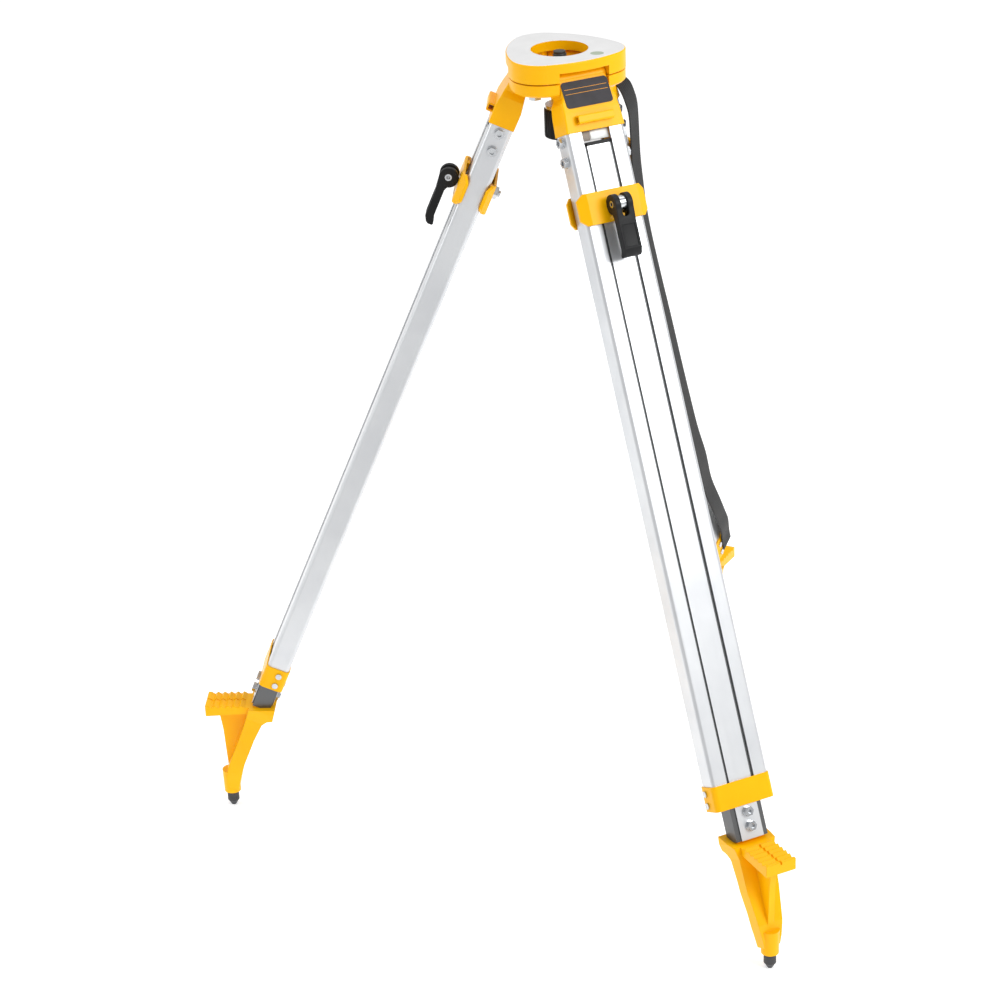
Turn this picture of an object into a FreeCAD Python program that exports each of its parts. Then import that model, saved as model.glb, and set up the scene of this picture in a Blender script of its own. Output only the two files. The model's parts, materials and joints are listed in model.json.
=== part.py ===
import FreeCAD, Part
import math
import os

# Heavy-duty aluminium construction tripod, legs retracted and spread.
# Millimetres. Origin: centre of the machined top face of the head, +Z up.
# Leg A points along -X, leg B to 300 degrees and leg C to 66 degrees.
# Each leg is drawn straight down from its hinge pin, in its own frame:
# +X is the outer face (front), +Y is tangential and "down" is measured along the leg.

V = FreeCAD.Vector

# Driving dimensions: stance
spread = 23.7
leg_angles = {"leg_a": 180.0, "leg_b": 300.0, "leg_c": 66.0}
head_corners = (0.0, 120.0, 240.0)
pin_radius = 40.8
pin_height = -22.5
leg_length = 1016.9

# Head casting
side_reach = 60.0
corner_reach = 73.5
corner_round = 35.0
plate_thickness = 11.0
top_edge_round = 1.8
hole_radius = 32.2
slit = 1.6
block_bottom = pin_height + slit / 2
cap_thickness = 13.7
cap_inset = 0.5
cap_edge = 2.5
slot_half = 31.0

# Hinge pins and the bolts that pull the caps up
pin_r = 5.0
pin_half = 46.0
pin_grip = 0.02
pin_play = 0.03
cap_bolt_r = 4.0
cap_bolt_reach = 54.0
cap_bolt_depth = 9.0

# Swing arm and fixing screw
arm_top = -15.0
arm_thickness = 4.0
arm_half = 12.5
arm_end_r = 8.5
arm_pivot_reach = 41.0
arm_pivot_r = 4.0
arm_slot_half = 9.0
slide_travel = 11.0
pocket_gap = 1.5
arm_sweep_reach = 20.0
arm_sweep_half = 19.0
screw_r = 7.94
screw_shank_r = 7.0
thread_bottom = -11.4
screw_top = -2.7
guide_flange_r = 13.0
guide_flange = 3.0
guide_play = 0.06
sleeve_r = 11.5
sleeve_bottom = -45.0
collar_top = -63.2
collar_thickness = 4.1
collar_r = 18.0
knob_r = 19.5
knob_height = 33.7
knob_flutes = 12
knob_flute_r = 2.6
knob_grip_depth = 12.0

# Hinge bracket, measured down from the pin
rail_start = 61.2
neck_r = 9.6
neck_half = 30.2
flare_start = 21.5
flare_end = 28.0
bracket_knee = 40.2
bracket_half_mid = 34.0
bracket_half_low = 36.5
bracket_front = 16.0
bracket_rear = -14.5
bracket_wall = 3.0
bracket_round = 2.0
lug_length = 38.0
lug_root = 14.0
loop_half = 22.0
loop_top = 43.7
loop_height = 9.5
loop_rise = 7.5
loop_wall = 2.0

# Outer rails and inner tube
rail_length = 765.0
rail_half = 36.2
rail_inner = 17.5
rail_depth = 27.0
rail_wall = 2.2
rail_corner = 4.5
slide_play = 0.4
tube_face_half = 14.2
tube_face_depth = 25.0
tube_lip_half = 20.0
tube_wall = 2.0
tube_start = rail_start + 16.5
tube_end = rail_start + 804.5
tube_cap_height = 4.0
tube_cap_skirt = 14.0
lug_gap = 0.1

# Bottom band and fasteners
band_start = rail_start + 737.0
band_height = 28.5
band_wall = 1.4
band_gap = 0.1
bolt_r = 3.0
bolt_hole_play = 0.05
flange_r = 6.4
flange_height = 1.4
hex_flats = 10.0
hex_height = 4.2
hex_recess_r = 2.6
bracket_bolts = [rail_start + 7.4, rail_start + 29.5]
bracket_bolt_length = 13.0
band_rivets = [band_start + 8.0, band_start + 21.5]
rivet_r = 2.0
rivet_head_r = 3.6
rivet_head = 1.8
rivet_length = 7.0
foot_bolts = [rail_start + 773.2, rail_start + 790.0]

# Clamp that travels with the inner tube
clamp_centre = rail_start + 85.3
clamp_height = 35.5
clamp_sheet = 2.8
clamp_face = 17.5
clamp_flat_half = 32.0
clamp_half = 42.0
clamp_back = 9.7
clamp_corner = 6.5
pad_inner_half = 20.0
pad_gap = 0.15
clamp_bolt_r = 4.0
clamp_hole_play = 0.3
cam_throw = 1.2
cam_contact = 12.0
cam_swing = 100.0
cam_lag = 40.0
cam_gap = 0.05
lever_half = 10.8
lever_slot_half = 4.2
eye_half = 4.0
eye_r = 8.5
lever_pin_r = 4.0
lever_pin_bore = 2.2
lever_length = 60.0
lever_outer = 8.2
lever_inner = -1.2
lever_lip = -3.8
nut_flats = 13.0
nut_height = 6.5
bolt_tail = 3.0

# Foot
foot_top_front = rail_start + 812.0
foot_top_rear = rail_start + 796.7
foot_end = rail_start + 930.0
foot_half_top = 28.0
spigot_play = 0.1
tip_offset = -16.0
point_r = 7.3
point_end_r = 3.0
point_height = 20.0
point_cone = 7.0
point_shank_r = 5.0
point_shank = 22.0
boss_r = 11.0
boss_height = 30.0
step_reach = 62.0
step_half = 19.0
step_thickness = 11.0
step_teeth = 6
tooth_height = 3.0
step_groove_half = 1.2
gusset_half = 4.0

# Label plate on leg B and carrying strap on leg C
label_width = 58.0
label_height = 30.0
label_thickness = 0.6
label_corner = 4.0
label_start = 5.0
strap_width = 25.0
strap_thickness = 2.0
strap_bulge = 3.0
strap_clear = 1.5
strap_rear = -12.0

nodes = {}


def box(x0, x1, y0, y1, z0, z1):
    return Part.makeBox(x1 - x0, y1 - y0, z1 - z0, V(x0, y0, z0))


def rod(radius, start, along):
    """Solid cylinder from start, along a vector as long as the cylinder."""
    return Part.makeCylinder(radius, along.Length, start, along)


def prism(points, along):
    """Closed polygon swept along a vector."""
    wire = Part.makePolygon(points + [points[0]])
    return Part.Face(wire).extrude(along)


def side_prism(outline, half):
    """Outline of (front, down) points in a leg's frame, swept over -half..half in Y."""
    return prism([V(x, -half, -down) for x, down in outline], V(0, 2 * half, 0))


def front_prism(outline, depth):
    """Outline of (tangential, down) points in a leg's frame, swept front to rear."""
    return prism([V(-depth, y, -down) for y, down in outline], V(2 * depth, 0, 0))


def hexagon(flats, start, along):
    """Hexagonal bar of the given width across flats."""
    axis = V(along).normalize()
    across = axis.cross(V(0, 0, 1) if abs(axis.z) < 0.9 else V(1, 0, 0)).normalize()
    other = axis.cross(across)
    reach = flats / math.sqrt(3)
    corners = [
        start
        + across * (reach * math.cos(math.radians(60 * i)))
        + other * (reach * math.sin(math.radians(60 * i)))
        for i in range(6)
    ]
    return prism(corners, along)


def polar(radius, degrees, z=0.0):
    a = math.radians(degrees)
    return V(radius * math.cos(a), radius * math.sin(a), z)


def turned(shape, degrees):
    """Copy turned about the tripod's vertical axis."""
    copy = shape.copy()
    copy.rotate(V(0, 0, 0), V(0, 0, 1), degrees)
    return copy


def on_leg(shape, azimuth):
    """Copy of a piece drawn in a leg's frame, carried to its spread leg."""
    copy = shape.copy()
    copy.rotate(V(0, 0, 0), V(0, 1, 0), -spread)
    copy.translate(V(pin_radius, 0, pin_height))
    return turned(copy, azimuth)


# Head


def head_outline(inset):
    """Rounded triangle of three shallow side arcs and three corner arcs, tangent to each other."""
    side = side_reach - inset
    corner_centre = corner_reach - corner_round
    round_r = corner_round - inset
    flat = side - round_r
    back = (flat**2 - corner_centre**2) / (corner_centre - 2 * flat)
    side_r = side + back
    split = math.degrees(
        math.atan2(
            corner_centre * math.sin(math.radians(60)),
            corner_centre * math.cos(math.radians(60)) + back,
        )
    )
    edges = []
    for corner in head_corners:
        azimuth = corner - 60
        centre = polar(-back, azimuth)
        points = [centre + polar(side_r, azimuth + a) for a in (-split, 0, split)]
        edges.append(Part.Arc(*points).toShape())
        centre = polar(corner_centre, corner)
        points = [centre + polar(round_r, azimuth + a) for a in (split, 60, 120 - split)]
        edges.append(Part.Arc(*points).toShape())
    return Part.Face(Part.Wire(edges))


def pin_grooves():
    """Round seats of the three hinge pins."""
    return [
        on_leg(rod(pin_r + pin_grip, V(0, -pin_half, 0), V(0, 2 * pin_half, 0)), azimuth)
        for azimuth in leg_angles.values()
    ]


def hinge_slots(bottom, top):
    """Spaces between the corner blocks, where the brackets swing."""
    return [
        turned(box(0, 2 * corner_reach, -slot_half, slot_half, bottom, top), azimuth)
        for azimuth in leg_angles.values()
    ]


def make_head():
    plate = head_outline(0).extrude(V(0, 0, -plate_thickness))
    rim = [e for e in plate.Edges if abs(e.CenterOfMass.z) < 0.01]
    plate = plate.makeFillet(top_edge_round, rim)
    blocks = head_outline(0).extrude(V(0, 0, plate_thickness + block_bottom))
    blocks.translate(V(0, 0, -plate_thickness))
    blocks = blocks.cut(hinge_slots(block_bottom - 1, -plate_thickness))
    hole = rod(hole_radius, V(0, 0, 1), V(0, 0, block_bottom - 2))
    pocket = rod(
        arm_end_r + pocket_gap,
        V(arm_pivot_reach, 0, arm_top + pocket_gap / 2),
        V(0, 0, block_bottom - arm_top - pocket_gap),
    )
    sweep = prism(
        [
            V(arm_pivot_reach, -arm_end_r - pocket_gap, arm_top + pocket_gap / 2),
            V(arm_pivot_reach, arm_end_r + pocket_gap, arm_top + pocket_gap / 2),
            V(arm_sweep_reach, arm_sweep_half, arm_top + pocket_gap / 2),
            V(arm_sweep_reach, -arm_sweep_half, arm_top + pocket_gap / 2),
        ],
        V(0, 0, block_bottom - arm_top - pocket_gap),
    )
    threads = [
        rod(cap_bolt_r, polar(cap_bolt_reach, a, block_bottom), V(0, 0, cap_bolt_depth))
        for a in head_corners
    ]
    pivot_seat = rod(arm_pivot_r, V(arm_pivot_reach, 0, arm_top), V(0, 0, 9.0))
    head = plate.fuse(blocks).cut([hole, pocket, sweep, pivot_seat] + threads + pin_grooves())
    return head.removeSplitter()


def make_caps():
    """Three caps under the corner blocks; with the blocks they hold the ends of the pins."""
    top = pin_height - slit / 2
    caps = head_outline(cap_inset).extrude(V(0, 0, -cap_thickness))
    caps.translate(V(0, 0, top))
    rim = [e for e in caps.Edges if abs(e.CenterOfMass.z - top + cap_thickness) < 0.01]
    caps = caps.makeChamfer(cap_edge, rim)
    holes = [
        rod(cap_bolt_r + bolt_hole_play, polar(cap_bolt_reach, a, top + 1), V(0, 0, -30))
        for a in head_corners
    ]
    middle = rod(hole_radius, V(0, 0, 0), V(0, 0, -60))
    return caps.cut(hinge_slots(-60, 0) + holes + [middle] + pin_grooves())


def make_cap_bolts():
    under = pin_height - slit / 2 - cap_thickness
    bolts = []
    for a in head_corners:
        top = block_bottom + cap_bolt_depth
        shank = rod(cap_bolt_r, polar(cap_bolt_reach, a, top), V(0, 0, under - top))
        flange = rod(8.0, polar(cap_bolt_reach, a, under), V(0, 0, -1.6))
        head = hexagon(nut_flats, polar(cap_bolt_reach, a, under - 1.6), V(0, 0, -5.0))
        bolts.append(shank.fuse([flange, head]).removeSplitter())
    return Part.makeCompound(bolts)


def make_arm():
    """Flat arm from its pivot in one corner to past the middle, with a slot for the guide."""
    free_end = -(slide_travel + arm_slot_half + 3.5)
    wide_from = arm_pivot_reach - 17.0
    top = arm_top
    down = V(0, 0, -arm_thickness)
    taper = prism(
        [
            V(arm_pivot_reach, -arm_end_r, top),
            V(arm_pivot_reach, arm_end_r, top),
            V(wide_from, arm_half, top),
            V(wide_from, -arm_half, top),
        ],
        down,
    )
    end = rod(arm_end_r, V(arm_pivot_reach, 0, top), down)
    body = box(free_end + arm_half, wide_from, -arm_half, arm_half, top + down.z, top)
    nose = rod(arm_half, V(free_end + arm_half, 0, top), down)
    slot = box(-slide_travel, slide_travel, -arm_slot_half, arm_slot_half, top + down.z, top)
    ends = [rod(arm_slot_half, V(x, 0, top), down) for x in (-slide_travel, slide_travel)]
    pivot = rod(arm_pivot_r + pin_play, V(arm_pivot_reach, 0, top), down)
    return end.fuse([taper, body, nose]).cut([slot, pivot] + ends).removeSplitter()


def make_arm_pivot():
    """Shoulder screw on which the arm swings, with its head below the arm."""
    under = arm_top - arm_thickness - 0.1
    shank = rod(arm_pivot_r, V(arm_pivot_reach, 0, arm_top + 8.0), V(0, 0, under - arm_top - 8.0))
    head = rod(6.5, V(arm_pivot_reach, 0, under), V(0, 0, -2.6))
    return shank.fuse(head).removeSplitter()


def make_guide():
    """Bush that slides in the arm's slot, and the sleeve below it that the collar pulls on."""
    top = arm_top + guide_flange
    under = arm_top - arm_thickness
    flange = rod(guide_flange_r, V(0, 0, top), V(0, 0, 0.1 - guide_flange))
    neck = rod(arm_slot_half - 0.08, V(0, 0, arm_top + 0.1), V(0, 0, -arm_thickness - 0.2))
    bore = rod(screw_shank_r + guide_play, V(0, 0, top + 1), V(0, 0, -80))
    bush = flange.fuse(neck).cut(bore)
    lower = rod(guide_flange_r, V(0, 0, under - 0.1), V(0, 0, -3.0))
    sleeve = rod(sleeve_r, V(0, 0, under - 0.1), V(0, 0, sleeve_bottom - under + 0.1))
    return bush.removeSplitter(), lower.fuse(sleeve).cut(bore).removeSplitter()


def make_screw():
    bottom = collar_top - collar_thickness - knob_height + knob_grip_depth / 2
    thread = rod(screw_r, V(0, 0, screw_top), V(0, 0, thread_bottom - screw_top))
    tip = [e for e in thread.Edges if abs(e.CenterOfMass.z - screw_top) < 0.01]
    shank = rod(screw_shank_r, V(0, 0, thread_bottom), V(0, 0, bottom - thread_bottom))
    return thread.makeChamfer(1.2, tip).fuse(shank)


def make_collar():
    collar = rod(collar_r, V(0, 0, collar_top), V(0, 0, -collar_thickness))
    return collar.cut(rod(screw_shank_r + guide_play, V(0, 0, 0), V(0, 0, -90)))


def make_knob(screw):
    top = collar_top - collar_thickness
    knob = rod(knob_r, V(0, 0, top), V(0, 0, -knob_height))
    ends = [e for e in knob.Edges if len(e.Vertexes) == 1]
    knob = knob.makeFillet(2.5, ends)
    reach = knob_r + knob_flute_r * 0.55
    flutes = [
        rod(knob_flute_r, polar(reach, 360 * i / knob_flutes, top), V(0, 0, -knob_height))
        for i in range(knob_flutes)
    ]
    return knob.cut(flutes + [screw])


# Leg pieces, each in the leg's own frame


def panel_front(down):
    """How far the bracket's sloping front panel stands out at a distance below the pin."""
    top = neck_r * 0.97
    return top + (bracket_front - top) * min(down / bracket_knee, 1.0)


def make_bracket():
    profile = [
        (panel_front(2.0), 2.0),
        (bracket_front, bracket_knee),
        (bracket_front, rail_start),
        (bracket_rear + 0.5, rail_start),
        (bracket_rear, bracket_knee),
        (-panel_front(0.0), 2.0),
    ]
    outline = [
        (-neck_half, 0),
        (neck_half, 0),
        (neck_half, flare_start),
        (bracket_half_mid, flare_end),
        (bracket_half_low, rail_start),
        (-bracket_half_low, rail_start),
        (-bracket_half_mid, flare_end),
        (-neck_half, flare_start),
    ]
    body = side_prism(profile, bracket_half_low + 1).common(front_prism(outline, 40))
    corners = [e for e in body.Edges if e.CenterOfMass.x > 8 and abs(e.CenterOfMass.y) > 29]
    body = body.makeFillet(bracket_round, corners)
    neck = rod(neck_r, V(0, -neck_half, 0), V(0, 2 * neck_half, 0))
    hollow_half = bracket_half_mid - bracket_wall
    hollow = box(
        -rail_depth / 2 + 1.5,
        rail_depth / 2 - 1.0,
        -hollow_half,
        hollow_half,
        -rail_start - 1,
        -flare_end,
    )
    lugs = []
    for side in (-1, 1):
        low = tube_lip_half + 0.6
        high = rail_half - rail_wall - lug_gap
        edges = sorted((side * low, side * high))
        depth = rail_depth / 2 - rail_wall - lug_gap
        lug = box(-depth, depth, *edges, -rail_start - lug_length, -rail_start + lug_root)
        outer = [
            e
            for e in lug.Edges
            if e.Length > lug_length and abs(e.CenterOfMass.y - side * high) < 0.01
        ]
        lugs.append(lug.makeFillet(rail_corner - rail_wall + 0.1, outer))
    bore = rod(pin_r + pin_play, V(0, -50, 0), V(0, 100, 0))
    holes = bracket_bolt_holes(bolt_r)
    bracket = body.fuse(neck).cut([hollow]).fuse(lugs + [make_loop()])
    return bracket.cut([bore] + holes).removeSplitter()


def make_loop():
    """Bridge on the front of the bracket that the carrying strap hooks through."""
    low = loop_top + loop_height
    front = bracket_front + loop_rise
    bar = box(bracket_front - 1, front, -loop_half, loop_half, -low, -loop_top)
    edges = [
        e for e in bar.Edges if abs(e.CenterOfMass.x - front) < 0.01 and e.Length > 2 * loop_half - 1
    ]
    bar = bar.makeFillet(2.0, edges)
    tunnel = box(
        bracket_front,
        front - loop_wall,
        -loop_half - 1,
        loop_half + 1,
        -low + loop_wall,
        -loop_top - loop_wall,
    )
    return bar.cut(tunnel)


def bracket_bolt_holes(radius):
    return [
        rod(
            radius,
            V(0, side * rail_half * 1.1, -down),
            V(0, -side * (rail_half * 0.1 + bracket_bolt_length), 0),
        )
        for down in bracket_bolts
        for side in (-1, 1)
    ]


def make_rail(side):
    """Channel section, open towards the middle of the leg, with rounded outer corners."""
    half = rail_depth / 2
    y0, y1 = sorted((side * rail_inner, side * rail_half))
    bar = box(-half, half, y0, y1, -rail_start - rail_length, -rail_start)
    outer = [
        e
        for e in bar.Edges
        if e.Length > rail_length - 1 and abs(e.CenterOfMass.y - side * rail_half) < 0.01
    ]
    bar = bar.makeFillet(rail_corner, outer)
    edge = rail_half - rail_wall
    y0, y1 = sorted((side * (rail_inner - 1), side * edge))
    inside = half - rail_wall
    hollow = box(-inside, inside, y0, y1, -rail_start - rail_length - 1, -rail_start + 1)
    corners = [
        e
        for e in hollow.Edges
        if e.Length > rail_length - 1 and abs(e.CenterOfMass.y - side * edge) < 0.01
    ]
    hollow = hollow.makeFillet(rail_corner - rail_wall, corners)
    rivets = [
        rod(rivet_r, V(x, side * (rail_half + 3), -down), V(0, -side * 10, 0))
        for x, down in rivet_places()
    ]
    return bar.cut([hollow] + bracket_bolt_holes(bolt_r + bolt_hole_play) + rivets)


def rivet_places():
    return [(-rail_depth / 7, down) for down in band_rivets]


def flanged_bolt(start, along, length):
    """Flanged hexagon bolt with a drilled head; its shank runs from start along a unit vector."""
    shank = rod(bolt_r, start, along * length)
    flange = rod(flange_r, start, along * -flange_height)
    head = hexagon(hex_flats, start - along * flange_height, along * -hex_height)
    top = start - along * (flange_height + hex_height)
    return shank.fuse([flange, head]).cut(rod(hex_recess_r, top, along * 2.5)).removeSplitter()


def make_frame_fasteners():
    """Bolts through the rails into the bracket's lugs, and the band's rivets."""
    pieces = []
    for side in (-1, 1):
        for down in bracket_bolts:
            start = V(0, side * rail_half, -down)
            pieces.append(flanged_bolt(start, V(0, -side, 0), bracket_bolt_length))
        surface = rail_half + band_gap + band_wall
        for x, down in rivet_places():
            shank = rod(rivet_r, V(x, side * surface, -down), V(0, -side * rivet_length, 0))
            head = rod(rivet_head_r, V(x, side * surface, -down), V(0, side * rivet_head, 0))
            pieces.append(shank.fuse(head).removeSplitter())
    return Part.makeCompound(pieces)


def rounded_bar(half_x, half_y, corner, top, height):
    """Upright bar with rounded long edges, its top at a distance below the pin."""
    bar = box(-half_x, half_x, -half_y, half_y, -top - height, -top)
    edges = [e for e in bar.Edges if abs(e.Length - height) < 0.01]
    return bar.makeFillet(corner, edges)


def make_band():
    gap = band_gap
    inner = rounded_bar(
        rail_depth / 2 + gap, rail_half + gap, rail_corner + gap, band_start - 1, band_height + 2
    )
    wide = gap + band_wall
    outer = rounded_bar(
        rail_depth / 2 + wide, rail_half + wide, rail_corner + wide, band_start, band_height
    )
    rivets = [
        rod(rivet_r, V(x, -60, -down), V(0, 120, 0)) for x, down in rivet_places()
    ]
    return outer.cut([inner] + rivets)


def tube_section(top, height, inset):
    """Cross-shaped bar: a raised front and rear face, and lips that run inside the rails."""
    lip_depth = rail_depth / 2 - rail_wall - slide_play
    face = box(
        -tube_face_depth / 2 + inset,
        tube_face_depth / 2 - inset,
        -tube_face_half + inset,
        tube_face_half - inset,
        -top - height,
        -top,
    )
    lip = box(
        -lip_depth + inset,
        lip_depth - inset,
        -tube_lip_half + inset,
        tube_lip_half - inset,
        -top - height,
        -top,
    )
    return face.fuse(lip).removeSplitter()


def front_holes(radius, places):
    return [rod(radius, V(-60, 0, -down), V(120, 0, 0)) for down in places]


def make_tube():
    bar = tube_section(tube_start, tube_end - tube_start, 0)
    hollow = tube_section(tube_start - 1, tube_end - tube_start + 2, tube_wall)
    holes = front_holes(bolt_r + bolt_hole_play, foot_bolts)
    holes += front_holes(clamp_bolt_r + bolt_hole_play, [clamp_centre])
    return bar.cut([hollow] + holes).removeSplitter()


def make_tube_cap():
    """Moulded plug in the top of the inner tube."""
    lid = tube_section(tube_start - tube_cap_height, tube_cap_height, 0)
    skirt = tube_section(tube_start, tube_cap_skirt, tube_wall + lug_gap)
    return lid.fuse(skirt).removeSplitter()


def make_foot_bolts():
    pieces = []
    face = tube_face_depth / 2
    for down in foot_bolts:
        pieces.append(flanged_bolt(V(face, 0, -down), V(-1, 0, 0), 2 * face + hex_height + 1.5))
        nut = hexagon(hex_flats, V(-face, 0, -down), V(-hex_height, 0, 0))
        pieces.append(nut.cut(rod(bolt_r, V(0, 0, -down), V(-60, 0, 0))))
    return Part.makeCompound(pieces)


def clamp_outline():
    """Clamp plate seen from the front: a rectangle with cut corners."""
    top = clamp_centre - clamp_height / 2
    low = clamp_centre + clamp_height / 2
    cut = clamp_corner
    right = [
        (clamp_half - cut, top),
        (clamp_half, top + cut),
        (clamp_half, low - cut),
        (clamp_half - cut, low),
    ]
    return right + [(-y, down) for y, down in reversed(right)]


def make_clamp_plate():
    """Formed plate across both rails: flat middle, ends bent back, pressed pads on the rails."""
    far = clamp_face + clamp_sheet
    bend = clamp_sheet * 0.35
    section = [
        V(clamp_face, -clamp_flat_half + bend, 0),
        V(clamp_back, -clamp_half - 1, 0),
        V(clamp_back + clamp_sheet * 1.25, -clamp_half - 1, 0),
        V(far, -clamp_flat_half, 0),
        V(far, clamp_flat_half, 0),
        V(clamp_back + clamp_sheet * 1.25, clamp_half + 1, 0),
        V(clamp_back, clamp_half + 1, 0),
        V(clamp_face, clamp_flat_half - bend, 0),
    ]
    sheet = prism(section, V(0, 0, -rail_start - 2 * clamp_centre))
    plate = sheet.common(front_prism(clamp_outline(), 60))
    pads = []
    for side in (-1, 1):
        edges = sorted((side * pad_inner_half, side * (clamp_flat_half - 2.0)))
        low = clamp_centre + clamp_height / 2 - 3
        high = clamp_centre - clamp_height / 2 + 3
        pads.append(box(rail_depth / 2 + pad_gap, clamp_face + 0.5, *edges, -low, -high))
    hole = front_holes(clamp_bolt_r + clamp_hole_play, [clamp_centre])
    return plate.fuse(pads).cut(hole).removeSplitter()


def pivot_front():
    """How far the lever's pivot stands in front of the leg's middle."""
    return clamp_face + clamp_sheet + cam_contact


def make_clamp_bolt():
    """Eye bolt through the tube and both plates, and its nut on the rear plate."""
    far = clamp_face + clamp_sheet
    pivot = pivot_front()
    rear = -far - nut_height - bolt_tail
    shank = rod(clamp_bolt_r, V(rear, 0, -clamp_centre), V(pivot - rear, 0, 0))
    eye = rod(eye_r, V(pivot, -eye_half, -clamp_centre), V(0, 2 * eye_half, 0))
    bore = rod(lever_pin_r, V(pivot, -eye_half, -clamp_centre), V(0, 2 * eye_half, 0))
    bolt = shank.fuse(eye).cut(bore).removeSplitter()
    washer = rod(nut_flats / 2 + 2, V(-far, 0, -clamp_centre), V(-1.5, 0, 0))
    nut = hexagon(nut_flats, V(-far - 1.5, 0, -clamp_centre), V(-nut_height + 1.5, 0, 0))
    nut = washer.fuse(nut).cut(rod(clamp_bolt_r, V(0, 0, -clamp_centre), V(-90, 0, 0)))
    return Part.makeCompound([bolt, nut.removeSplitter()])


def make_lever():
    """Cam lever; the eccentric head presses the front plate while the handle lies down."""
    pivot = pivot_front()
    lag = math.radians(cam_lag)
    half_swing = math.radians(cam_swing / 2)
    offset = cam_throw / 2 / math.cos(math.radians(90) - half_swing)
    cam_r = cam_contact - cam_gap - cam_throw / 2
    centre = V(pivot - offset * math.cos(lag), -lever_half, -clamp_centre - offset * math.sin(lag))
    head = rod(cam_r, centre, V(0, 2 * lever_half, 0))
    end = clamp_centre + lever_length
    top = clamp_centre - cam_r * 0.35
    outline = [
        (pivot, top),
        (pivot + cam_r * 0.86, top),
        (pivot + lever_outer + 1.4, clamp_centre + 8),
        (pivot + lever_outer, clamp_centre + 22),
        (pivot + lever_outer, end - 8),
        (pivot + lever_outer - 3, end - 2),
        (pivot + lever_outer - 6, end),
        (pivot + lever_lip + 1, end),
        (pivot + lever_lip, end - 2),
        (pivot + lever_inner, end - 9),
        (pivot + lever_inner, clamp_centre + 16),
        (pivot - 4, clamp_centre + 9),
    ]
    handle = side_prism(outline, lever_half)
    slot_end = clamp_centre + eye_r + 3
    slot = box(
        0, pivot + 60, -lever_slot_half, lever_slot_half, -slot_end, -clamp_centre + cam_r + 20
    )
    round_end = rod(
        lever_slot_half, V(0, 0, -slot_end), V(pivot + 60, 0, 0)
    )
    bore = rod(lever_pin_r + pin_play, V(pivot, -20, -clamp_centre), V(0, 40, 0))
    return head.fuse(handle).cut([slot, round_end, bore]).removeSplitter()


def make_lever_pin():
    pivot = pivot_front()
    pin = rod(lever_pin_r, V(pivot, -lever_half, -clamp_centre), V(0, 2 * lever_half, 0))
    return pin.cut(rod(lever_pin_bore, V(pivot, -20, -clamp_centre), V(0, 40, 0)))


# Foot: down the leg in the leg's frame, but its step and point stand true on the ground


def stand_up(shape, front, down):
    """Turn a piece drawn upright so that it stands vertical once the leg is spread."""
    copy = shape.copy()
    copy.rotate(V(0, 0, 0), V(0, 1, 0), spread)
    copy.translate(V(front, 0, -down))
    return copy


def make_foot_body():
    start = tube_end
    profile = [
        (13.6, foot_top_front - 2),
        (11.4, foot_top_front + 20),
        (9.9, foot_top_front + 50),
        (9.2, foot_top_front + 90),
        (5.0, foot_top_front + 108),
        (0.5, foot_end),
        (-15.0, foot_end),
        (-11.5, foot_end - 16),
        (-8.2, foot_end - 42),
        (-7.4, foot_end - 80),
        (-8.8, foot_end - 104),
        (-13.0, foot_end - 112),
        (-19.0, foot_end - 116),
        (-17.0, foot_top_rear + 4),
        (-16.0, foot_top_rear),
    ]
    widths = [
        (foot_half_top, foot_top_rear - 4),
        (foot_half_top, foot_top_rear + 9),
        (22.5, foot_top_rear + 27),
        (20.5, foot_top_rear + 66),
        (15.0, foot_top_rear + 110),
        (10.5, foot_end),
    ]
    outline = widths + [(-y, down) for y, down in reversed(widths)]
    body = side_prism(profile, 40).common(front_prism(outline, 60))
    socket = tube_section(start - 40, 40, -spigot_play)
    spigot_top = foot_bolts[0] - 7
    spigot = tube_section(spigot_top, start - spigot_top + 1, tube_wall + spigot_play)
    return body.cut(socket).fuse(spigot)


def ground_point():
    """The very tip of the foot, in the leg's frame."""
    return tip_offset, leg_length


def make_foot_boss():
    front, down = ground_point()
    low = point_height
    cone = Part.makeCone(boss_r * 0.93, boss_r, boss_height, V(0, 0, low), V(0, 0, 1))
    return stand_up(cone, front, down)


def make_step():
    """Ribbed tread with a gusset under it, level when the leg stands."""
    tip_front, tip_down = ground_point()
    a = math.radians(spread)
    height = (tip_down - foot_top_front) * math.cos(a) + (13.1 - tip_front) * math.sin(a)
    inner = (13.1 - tip_front) * math.cos(a) - (tip_down - foot_top_front) * math.sin(a)
    top = height + 5.0
    outer = inner + step_reach - 8
    pitch = step_reach / (step_teeth + 1.6)
    outline = [(inner - 10, top - step_thickness), (inner - 10, top - tooth_height)]
    for i in range(step_teeth):
        x = outer - (step_teeth - i) * pitch
        outline += [(x, top - tooth_height), (x + pitch * 0.55, top)]
    outline += [(outer, top), (outer, top - step_thickness - 3)]
    points = [V(x, -step_half, z) for x, z in outline]
    tread = prism(points, V(0, 2 * step_half, 0))
    groove = box(inner, outer + 1, -step_groove_half, step_groove_half, top - tooth_height, top + 1)
    gusset = prism(
        [
            V(inner - 6, -gusset_half, top - step_thickness),
            V(outer - 14, -gusset_half, top - step_thickness - 1),
            V(outer - 18, -gusset_half, top - step_thickness - 30),
            V(2.0, -gusset_half, point_height + 34),
            V(-8.0, -gusset_half, point_height + 60),
        ],
        V(0, 2 * gusset_half, 0),
    )
    return stand_up(tread.cut(groove).fuse(gusset), tip_front, tip_down)


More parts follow.
